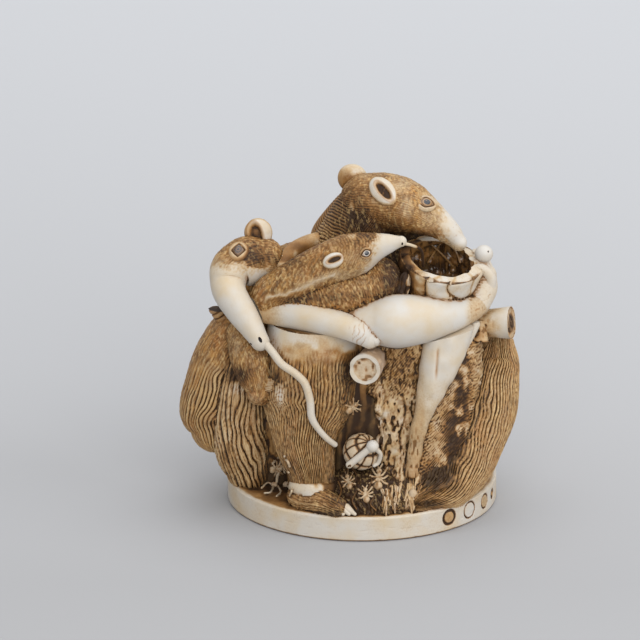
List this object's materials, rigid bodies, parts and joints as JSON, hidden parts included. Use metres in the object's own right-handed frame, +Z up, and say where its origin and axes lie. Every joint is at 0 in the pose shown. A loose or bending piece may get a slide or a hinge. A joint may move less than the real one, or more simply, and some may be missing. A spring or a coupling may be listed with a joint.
{
  "type": "figurine box",
  "caption": "Cast oval figurine box: anteaters clasping a hollow tree stump on an oval plinth, with a hollow body and a lid that lifts off.",
  "frame": {"origin": "centre of the plinth's underside", "axes": "+Z up, +X to the right and -Y towards a viewer in front"},
  "size_m": [0.0689, 0.0536, 0.0705],
  "materials": {
    "base_casting": "cast ivory resin and stone powder, brown stain wiped off the high places, satin",
    "lid_casting": "cast ivory resin and stone powder, brown stain wiped off the high places, satin"
  },
  "bodies": {
    "root": {"base": "base_casting", "lid": "lid_casting"}
  },
  "joints": []
}
